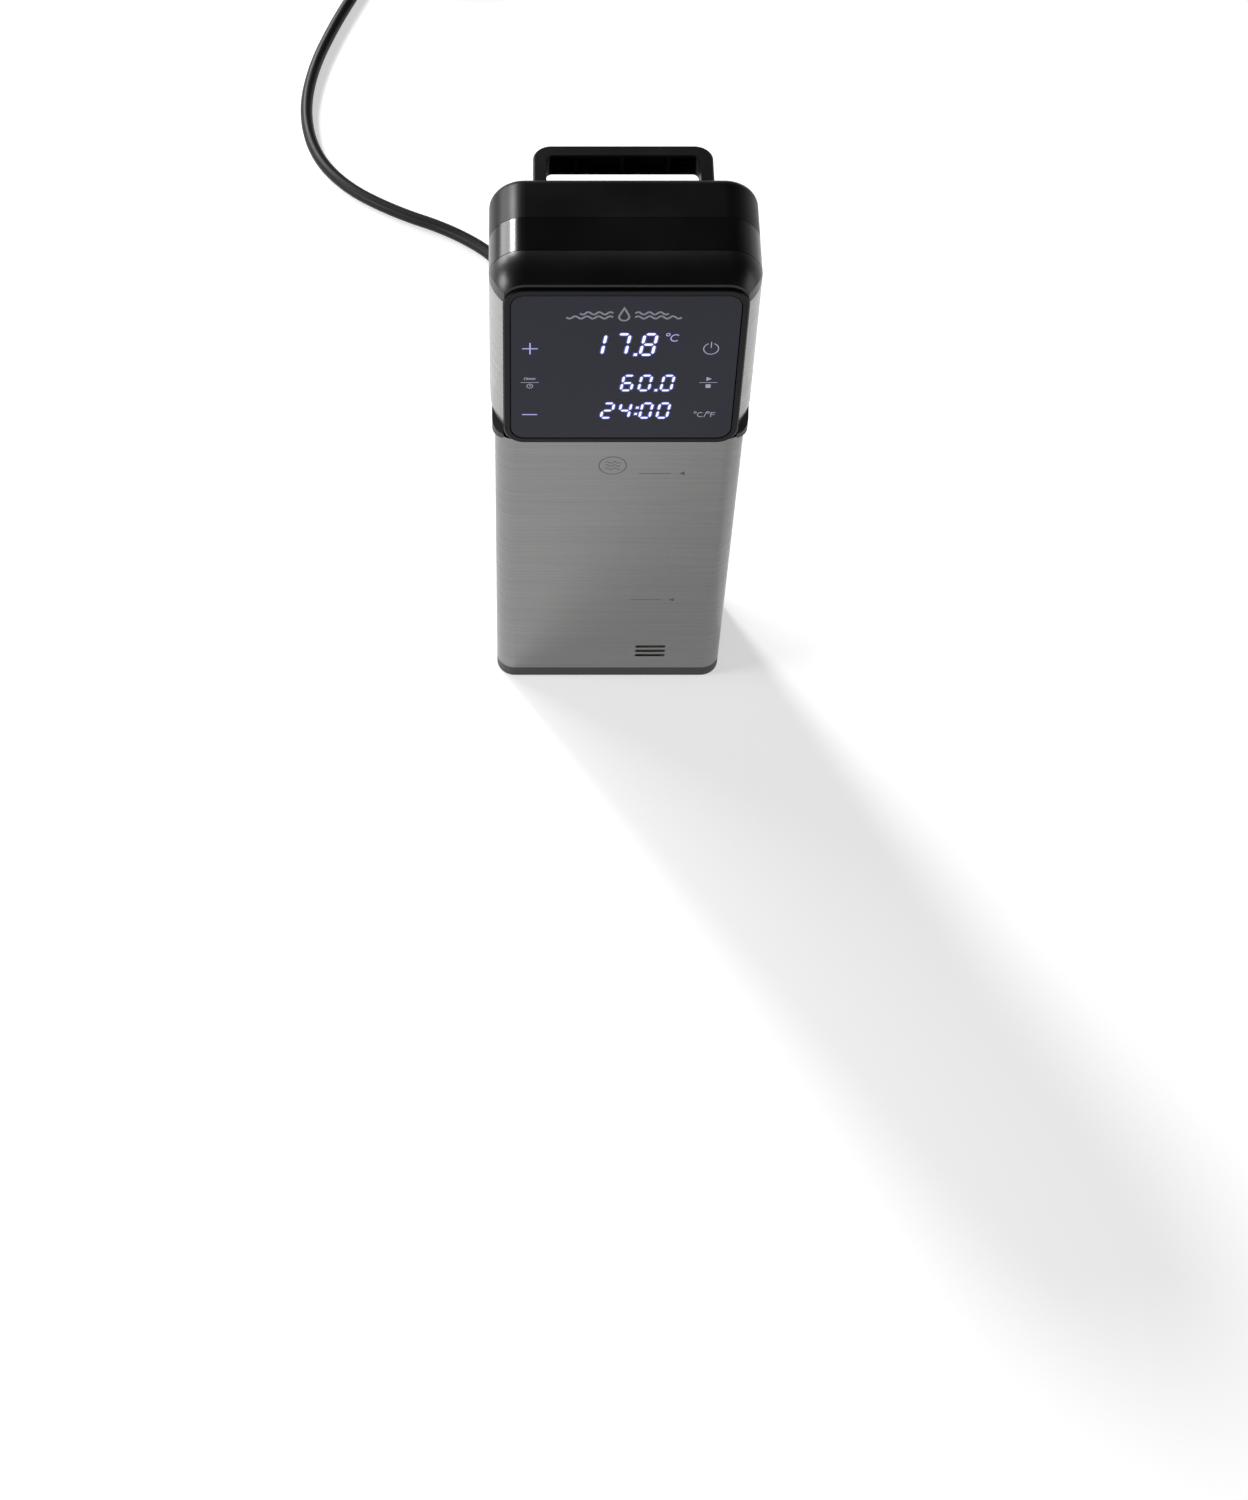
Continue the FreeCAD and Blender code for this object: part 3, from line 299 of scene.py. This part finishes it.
EXTRA = {
    "digit": lit("digit_white", (0.70, 0.74, 1.0), 1.35),
    "halo": lit("digit_halo", (0.055, 0.06, 0.36), 1.1, tone_low=0.5),
    "key_lit": lit("key_lavender", (0.34, 0.35, 0.74), 1.0),
    "key_dim": lit("key_grey", (0.29, 0.29, 0.40), 1.0),
    "mark_print": moulded("printed_mark", (0.25, 0.26, 0.32), 0.4),
    "etched": moulded("etched_mark", (0.075, 0.075, 0.073), 0.55, grain=2500, depth=10),
}
TUBES = ("heater_hairpins", "temp_probe", "level_rod", "pump_column", "motor_shaft")


def dress_nodes():
    """Give each CAD node its slot's material, or one of its own."""
    slots = {part["node"]: part["material_slot"] for part in frame["record"]["subparts"]}
    tube = brushed("drawn_tube", (0.60, 0.59, 0.57), 0.22, UPRIGHT_GRAIN, depth=4, turn=0.2)
    # The side panels get a lighter copy of the same brushed stainless: painted light, for the brighter
    # light that falls on them.
    side = brushed("brushed_side_painted_light", (0.325, 0.325, 0.322), 0.28, HORIZONTAL_GRAIN)
    own = {node: tube for node in TUBES}
    own["side_panel_left"] = own["side_panel_right"] = side
    # The visor gets a lighter, glossier copy of the black moulding: painted light against the shade on its
    # forward slope.
    own["front_visor"] = moulded("visor_black_painted_light", (0.0025, 0.0025, 0.0026), 0.34,
                                 grain=1900, depth=6, level=0.42, spread_by=0.04)
    # The handle gets a lighter copy of the satin black: painted light that lifts the shade in its recess.
    own["carry_handle"] = moulded("handle_black_painted_light", (0.0045, 0.0045, 0.0048), 0.40,
                                  grain=1900, depth=10, level=0.12)
    own["motor_housing"] = metal("pressed_steel", (0.58, 0.58, 0.60), 0.30, grain=1200)
    for node, obj in NODES.items():
        obj.data.materials.clear()
        obj.data.materials.append(own.get(node) or SLOT_MATERIALS[slots[node]])


def soften(node, width):
    """Round off a CAD node's sharp edges a little."""
    obj = NODES[node]
    weld = obj.modifiers.new("weld", "WELD")
    weld.merge_threshold = 0.000002
    bevel = obj.modifiers.new("edges", "BEVEL")
    bevel.width = width * MM
    bevel.segments = 3
    bevel.limit_method = "ANGLE"
    bevel.angle_limit = math.radians(35)
    bevel.harden_normals = True
    bevel.use_clamp_overlap = True


# ---- mesh helpers -------------------------------------------------------------------------------
def mesh_piece(name, build, material, body="root", smooth=False):
    """Make an object from a function that fills a bmesh, and let it ride on a body."""
    bm = bmesh.new()
    build(bm)
    bmesh.ops.recalc_face_normals(bm, faces=bm.faces)
    mesh = bpy.data.meshes.new(name)
    bm.to_mesh(mesh)
    bm.free()
    obj = bpy.data.objects.new(name, mesh)
    bpy.context.scene.collection.objects.link(obj)
    mesh.materials.append(material)
    for face in mesh.polygons:
        face.use_smooth = smooth
    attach(obj, body)
    return obj


def on_panel(u, v, lift):
    """A place on the leaning glass, u across and v up it, in millimetres."""
    return PANEL_FOOT + (Vector((u, 0, 0)) + PANEL_UP * v + PANEL_OUT * (lift + GLASS_LIFT)) * MM


def on_skirt(u, v, lift):
    """A place on the skirt's flat front, in millimetres."""
    return Vector((u, SKIRT_FRONT - lift, v)) * MM


def stamp(bm, loops, place, low, high):
    """Thin raised plates over closed 2-D loops."""
    for loop in loops:
        bottom = [bm.verts.new(place(u, v, low)) for u, v in loop]
        top = [bm.verts.new(place(u, v, high)) for u, v in loop]
        bm.faces.new(top)
        bm.faces.new(bottom[::-1])
        for i in range(len(loop)):
            j = (i + 1) % len(loop)
            bm.faces.new((bottom[i], bottom[j], top[j], top[i]))


def ribbon(points, width, closed=False):
    """Quads that follow a polyline at one width, with mitred corners."""
    pts = [Vector(p) for p in points]
    count = len(pts)
    sides = []
    for i, p in enumerate(pts):
        before = pts[i - 1] if (i or closed) else None
        after = pts[(i + 1) % count] if (i < count - 1 or closed) else None
        into = (p - before).normalized() if before is not None else None
        out = (after - p).normalized() if after is not None else None
        mean = ((into or out) + (out or into)).normalized()
        side = Vector((-mean.y, mean.x))
        stretch = 1 / max(0.5, side.dot(Vector((-(into or out).y, (into or out).x))))
        sides.append((p + side * width / 2 * stretch, p - side * width / 2 * stretch))
    runs = range(count if closed else count - 1)
    return [[tuple(sides[i][0]), tuple(sides[i][1]), tuple(sides[(i + 1) % count][1]),
             tuple(sides[(i + 1) % count][0])] for i in runs]


def arc(cx, cy, r, start, end, steps=24):
    """Points round an arc; start and end are in degrees."""
    angles = [math.radians(start + (end - start) * i / steps) for i in range(steps + 1)]
    return [(cx + r * math.cos(angle), cy + r * math.sin(angle)) for angle in angles]


def rect(cx, cy, w, h):
    corners = ((-1, -1), (1, -1), (1, 1), (-1, 1))
    return [(cx + u * w / 2, cy + v * h / 2) for u, v in corners]


def ring(bm, x, y, z, radius, around=40):
    """A circle of vertices across Y."""
    angles = [TURN * i / around for i in range(around)]
    return [bm.verts.new((x + radius * math.cos(a), y, z + radius * math.sin(a))) for a in angles]


def skin(bm, rows):
    """Faces between rings of vertices, with both ends closed."""
    for near, far in zip(rows, rows[1:]):
        for i in range(len(near)):
            j = (i + 1) % len(near)
            bm.faces.new((near[i], near[j], far[j], far[i]))
    bm.faces.new(rows[0])
    bm.faces.new(rows[-1][::-1])


# ---- the display --------------------------------------------------------------------------------
SEGMENTS = {"0": "abcdef", "1": "bc", "2": "abged", "4": "fgbc", "6": "afgedc", "7": "abc", "8": "abcdefg"}
SLANT = 0.148
DOT_SCALE = 1.15          # a dot's side against the stroke
DOT_BACK = 2.1            # from a dot to the left edge of the digit after it
HALO_GROW = 0.55


def digit_loops(char, x, y, w, h, stroke, grow=0.0):
    """Slanted seven-segment figure with its lower left corner at x, y."""
    half = stroke / 2 + grow
    gap = stroke / 2 - grow
    mid = h / 2
    ends = {"a": ((0, h), (w, h)), "g": ((0, mid), (w, mid)), "d": ((0, 0), (w, 0)),
            "f": ((0, mid), (0, h)), "b": ((w, mid), (w, h)),
            "e": ((0, 0), (0, mid)), "c": ((w, 0), (w, mid))}
    loops = []
    for name in SEGMENTS[char]:
        (x0, y0), (x1, y1) = ends[name]
        along = Vector((x1 - x0, y1 - y0)).normalized()
        side = Vector((-along.y, along.x)) * half
        a = Vector((x0, y0)) + along * gap
        b = Vector((x1, y1)) - along * gap
        tip = along * half
        hexagon = [a, a + tip + side, b - tip + side, b, b - tip - side, a + tip - side]
        loops.append([(x + p.x + p.y * SLANT, y + p.y) for p in hexagon])
    return loops


def dot_loop(x, y, size, grow=0.0):
    size += 2 * grow
    return [(x + u + v * SLANT, y + v) for u, v in rect(0, 0, size, size)]


# rows: text, right edge of the last digit, baseline, digit width, height, stroke, pitch, room for a dot
ROWS = (("17.8", 12.8, 57.7, 5.6, 12.8, 1.3, 10.9, 1.4), ("60.0", 22.3, 34.9, 4.7, 9.5, 1.08, 8.2, 2.1),
        ("24:00", 21.2, 16.9, 4.7, 9.5, 1.08, 8.1, 1.9))


def row_loops(text, right, base, w, h, stroke, pitch, room, grow=0.0):
    """One row of figures, laid out from its right end."""
    loops, x, dot = [], right - w, stroke * DOT_SCALE
    for char in reversed(text):
        dot_x = x + pitch - DOT_BACK
        if char == ".":
            loops.append(dot_loop(dot_x, base + 0.1, dot, grow))
            x -= room
        elif char == ":":
            for lift in (0.27 * h, 0.7 * h):
                loops.append(dot_loop(dot_x + lift * SLANT, base + lift, dot, grow))
            x -= room
        else:
            loops += digit_loops(char, x, base, w, h, stroke, grow)
            x -= pitch
    return loops


def unit_loops(x, y, size, width, letter):
    """Degree sign and a unit letter."""
    loops = ribbon(arc(x, y + size * 0.86, size * 0.16, 0, 345, 12), width * 0.8, closed=True)
    left = x + size * 0.36
    if letter == "C":
        return loops + ribbon(arc(left + size * 0.36, y + size * 0.45, size * 0.40, 48, 312, 14), width)
    top, middle = y + size * 0.85, y + size * 0.47
    loops += ribbon([(left + size * 0.6, top), (left + 0.1, top), (left, y)], width)
    return loops + ribbon([(left, middle), (left + size * 0.5, middle)], width)


def slanted(loops, base):
    """Lean loops like the digits, about the height base."""
    return [[(u + (v - base) * SLANT, v) for u, v in loop] for loop in loops]


KEY_LEFT, KEY_RIGHT = -43.2, 39.6
KEY_HIGH, KEY_MID, KEY_LOW = 61.5, 40.0, 19.0


def on_glass(name, loops, material, low, high):
    """Thin marks on the panel's glass."""
    mesh_piece(name, lambda bm: stamp(bm, loops, on_panel, low, high), EXTRA[material])


def add_display():
    """The lit figures, the glow round them and the unit."""
    digits, halos = [], []
    for row in ROWS:
        digits += row_loops(*row)
        halos += row_loops(*row, grow=HALO_GROW)
    unit_v = 66.0
    unit = slanted(unit_loops(19.0, unit_v, 5.0, 0.55, "C"), unit_v)
    on_glass("display_halo", halos, "halo", 0.005, 0.012)
    on_glass("display_digits", digits, "digit", 0.014, 0.03)
    on_glass("display_unit", unit, "key_lit", 0.014, 0.03)


def power_sign(x, y):
    return ribbon(arc(x, y, 3.4, 112, 428, 40), 0.45) + [rect(x, y + 2.4, 0.45, 3.6)]


def thermometer_sign(x, y):
    """A bulb with a two-line stem to its right."""
    loops = ribbon(arc(x - 1.9, y, 0.75, -60, 240, 14), 0.32)
    for stem_y in (y - 0.3, y + 0.4):
        loops += ribbon([(x - 1.5, stem_y), (x + 2.6, stem_y)], 0.3)
    return loops


def clock_sign(x, y):
    face = ribbon(arc(x, y, 1.35, 0, 345, 22), 0.32, closed=True)
    return face + ribbon([(x, y + 0.9), (x, y), (x + 0.75, y)], 0.3)


def run_sign(x, y):
    return [(x - 1.0, y - 1.3), (x + 1.5, y), (x - 1.0, y + 1.3)]


def unit_switch_sign(x, y):
    """Degree C, a stroke, degree F."""
    low, size = y - 1.6, 3.5
    loops = unit_loops(x - 5.0, low, size, 0.36, "C")
    loops += ribbon([(x - 0.9, y - 1.8), (x + 0.3, y + 1.8)], 0.3)
    return loops + unit_loops(x + 1.1, low, size, 0.36, "F")


def key_icons():
    """Touch-key symbols. Words are replaced by plain signs."""
    bright = [rect(KEY_LEFT, KEY_HIGH, 7.2, 0.62), rect(KEY_LEFT, KEY_HIGH + 1.95, 0.62, 3.2),
              rect(KEY_LEFT, KEY_HIGH - 1.95, 0.62, 3.2), rect(KEY_LEFT, KEY_LOW, 7.0, 0.62)]
    over, under = KEY_MID + 2.3, KEY_MID - 2.3
    dim = power_sign(KEY_RIGHT, KEY_HIGH)
    dim += [rect(x, KEY_MID, 8.4, 0.28) for x in (KEY_LEFT, KEY_RIGHT)]
    dim += thermometer_sign(KEY_LEFT, over) + clock_sign(KEY_LEFT, under)
    dim += [run_sign(KEY_RIGHT, over), rect(KEY_RIGHT, under, 2.3, 2.3)]
    dim += unit_switch_sign(KEY_RIGHT, KEY_LOW)
    on_glass("key_signs_lit", bright, "key_lit", 0.01, 0.025)
    on_glass("key_signs", dim, "key_dim", 0.01, 0.025)


def drop_outline(cx, cy, size):
    """A water drop: round below, pointed above."""
    round_part = arc(cx, cy, size * 0.5, -215, 35, 20)
    return round_part + [(cx + size * 0.22, cy + size * 0.72), (cx, cy + size * 1.15),
                         (cx - size * 0.22, cy + size * 0.72)]


def wave_line(x0, x1, y, height, waves):
    """Points along a sine wave."""
    steps = waves * 12
    return [(x0 + (x1 - x0) * i / steps, y + height / 2 * math.sin(TURN * waves * i / steps))
            for i in range(steps + 1)]


def panel_emblem():
    """A plain drop between two ripples, in place of a name."""
    centre, level, line = -0.8, 81.2, 0.95
    loops = ribbon(drop_outline(centre, level, 4.6), line, closed=True)
    for side in (-1, 1):
        for lift, reach, waves in ((2.2, 20.0, 3), (-0.3, 26.0, 4)):
            start, end = centre + side * 5.0, centre + side * reach
            loops += ribbon(wave_line(start, end, level + lift, 1.5, waves), line)
    on_glass("panel_emblem", loops, "mark_print", 0.01, 0.02)


LEVEL_MAX, LEVEL_MIN = 174.0, 70.0


def skirt_marks():
    """Etched level lines with pointers, and a plain ripple badge."""
    loops = []
    for level in (LEVEL_MAX, LEVEL_MIN):
        loops.append(rect(17.7, level, 15.9, 0.45))
        loops.append([(29.5, level), (32.3, level + 1.5), (32.3, level - 1.5)])
    badge_x, badge_z = -2.9, 180.0
    loops += ribbon(arc(badge_x, badge_z, 6.6, 0, 352, 44), 0.5, closed=True)
    for lift in (-2.4, 0.0, 2.4):
        loops += ribbon(wave_line(badge_x - 3.6, badge_x + 3.6, badge_z + lift, 1.3, 2), 0.4)
    mesh_piece("skirt_marks", lambda bm: stamp(bm, loops, on_skirt, 0.0, 0.012), EXTRA["etched"])


# ---- clamp --------------------------------------------------------------------------------------
def thread_radius(y, turn, pitch, major, minor):
    """The thread's radius at a height and a part of a turn: crest, root and sloping flanks."""
    phase = (y / pitch - turn) % 1.0
    flank = 0.18
    if phase < flank:
        return minor + (major - minor) * phase / flank
    if phase < 0.5 - flank / 2:
        return major
    if phase < 0.5 + flank / 2:
        return major - (major - minor) * (phase - 0.5 + flank / 2) / flank
    return minor


def build_spindle(bm):
    """The clamp's screw with a real thread, and its plain tip."""
    low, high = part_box("clamp_screw")
    x, z = (low.x + high.x) / 2, (low.z + high.z) / 2
    pitch, major, minor = 2.5 * MM, 4.0 * MM, 3.15 * MM
    around, step = 40, 0.2 * MM
    tip_r, tip_end = 3.0 * MM, low.y + 4.8 * MM
    tip = ((low.y, tip_r * 0.8), (low.y + 0.4 * MM, tip_r), (tip_end, tip_r))
    rows = [ring(bm, x, y, z, radius, around) for y, radius in tip]
    for i in range(int((high.y - tip_end) / step) + 1):
        y, row = tip_end + i * step, []
        for j in range(around):
            turn = j / around
            r = thread_radius(y, turn, pitch, major, minor)
            row.append(bm.verts.new((x + r * math.cos(TURN * turn), y, z + r * math.sin(TURN * turn))))
        rows.append(row)
    skin(bm, rows)


def build_knob_cap(bm):
    """Domed steel cap in the knob's face."""
    low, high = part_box("clamp_knob")
    x, seat = (low.x + high.x) / 2, high.y - 0.3 * MM
    profile = ((7.0, 0.0), (7.0, 0.35), (6.6, 0.7), (5.0, 1.0), (2.5, 1.2))
    skin(bm, [ring(bm, x, seat + out * MM, CLAMP_Z * MM, radius * MM) for radius, out in profile])


def add_clamp_detail():
    zinc = SLOT_MATERIALS["zinc_fasteners"]
    spindle = mesh_piece("clamp_thread", build_spindle, zinc, "clamp_spindle")
    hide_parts("clamp_screw")
    mesh_piece("knob_cap", build_knob_cap, zinc, "clamp_spindle", smooth=True)


# ---- curves -------------------------------------------------------------------------------------
def nurbs(name, points, radius, material, resolution):
    """A round, smooth line with the points as its control points."""
    data = bpy.data.curves.new(name, "CURVE")
    data.dimensions = "3D"
    data.bevel_depth = radius
    data.bevel_resolution = 6
    data.use_fill_caps = True
    spline = data.splines.new("NURBS")
    spline.points.add(len(points) - 1)
    for point, co in zip(spline.points, points):
        point.co = (*co, 1)
    spline.order_u = 3
    spline.use_endpoint_u = True
    spline.resolution_u = resolution
    obj = bpy.data.objects.new(name, data)
    bpy.context.scene.collection.objects.link(obj)
    data.materials.append(material)
    return obj


KEY_SPRINGS = [(side * 43.0, v) for side in (-1, 1) for v in (30.0, 45.0, 60.0)]


def add_touch_springs():
    """Coil springs under the six touch keys."""
    front, length, turns, per_turn = 3.1, 4.3, 6, 12
    last = turns * per_turn
    springs = []
    for u, v in KEY_SPRINGS:
        points = []
        for i in range(last + 1):
            angle = TURN * i / per_turn
            reach = 2.9 - abs(i / last - 0.5)
            depth = front + length * i / last
            points.append(on_panel(u + reach * math.cos(angle), v + reach * math.sin(angle),
                                   -depth - GLASS_LIFT))
        springs.append(nurbs("key_spring_%d" % len(springs), points, 0.2 * MM,
                             SLOT_MATERIALS["zinc_fasteners"], 3))
    for spring in springs:
        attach(spring, "root")
    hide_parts("touch_springs")


# ---- the lead -----------------------------------------------------------------------------------
CORD_D = 7.5
LOW_Z, HIGH_Z = CORD_D / 2, CORD_D / 2 + 6.5
# out of the sleeve and down behind the head, then over the surface (mm)
DROP = [(-28, 70, 235), (-29, 90, 234), (-31, 112, 222), (-33, 129, 197), (-35, 141, 162),
        (-37, 151, 122), (-40, 163, 83), (-43, 181, 48), (-46, 208, 18), (-50, 241, 4.4)]
LYING = [(-59, 271), (-88, 294), (-124, 310), (-155, 331), (-175, 359), (-183, 396),
         (-179, 436), (-166, 478), (-153, 510), (-142.5, 541), (-133.5, 570)]
CORD_ROUTE = DROP + [(x, y, LOW_Z) for x, y in LYING]
COIL_X, COIL_Y = -89.3, 556.3
COIL_START, COIL_TURN = 162.7, 1152.7      # degrees, wound clockwise from above
OUTER_R, INNER_R, UPPER_R, LEAVING_R = 46.25, 38.75, 42.5, 47.0


def ease(t, low, high):
    """Go smoothly from 0 to 1 as t goes from low to high."""
    t = min(1.0, max(0.0, (t - low) / (high - low)))
    return t * t * (3 - 2 * t)


def coil_points():
    """Outer turn, inner turn, then one on top that ends at the plug's tail."""
    steps, points = 52, []
    # control points stand a little outside the round line that they make
    swell = 1 / math.cos(math.radians(COIL_TURN / steps / 2)) ** 0.7
    for i in range(1, steps + 1):
        turned = COIL_TURN * i / steps
        r = OUTER_R + (INNER_R - OUTER_R) * ease(turned, 280, 380)
        r += (UPPER_R - INNER_R) * ease(turned, 745, 850)
        r += (LEAVING_R - UPPER_R) * ease(turned, 1000, 1120)
        z = LOW_Z + (HIGH_Z - LOW_Z) * ease(turned, 715, 830)
        angle = math.radians(COIL_START - turned)
        points.append((COIL_X + r * swell * math.cos(angle), COIL_Y + r * swell * math.sin(angle), z))
    return points


def add_cord():
    tail_y = COIL_Y + LEAVING_R
    tail = [(COIL_X + 10, tail_y, HIGH_Z), (COIL_X + 31, tail_y, HIGH_Z)]
    points = [Vector(p) * MM for p in CORD_ROUTE + coil_points() + tail]
    cord = nurbs("mains_lead", points, CORD_D / 2 * MM, SLOT_MATERIALS["cord_rubber"], 12)
    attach(cord, "root")
    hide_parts("power_cord", "cord_coil", "cord_tail")


# ---- put it together ----------------------------------------------------------------------------
set_camera()
add_cord()
set_light()
add_floor()
dress_nodes()
soften("clamp_knob", 0.8)
add_display()
key_icons()
panel_emblem()
skirt_marks()
add_clamp_detail()
add_touch_springs()
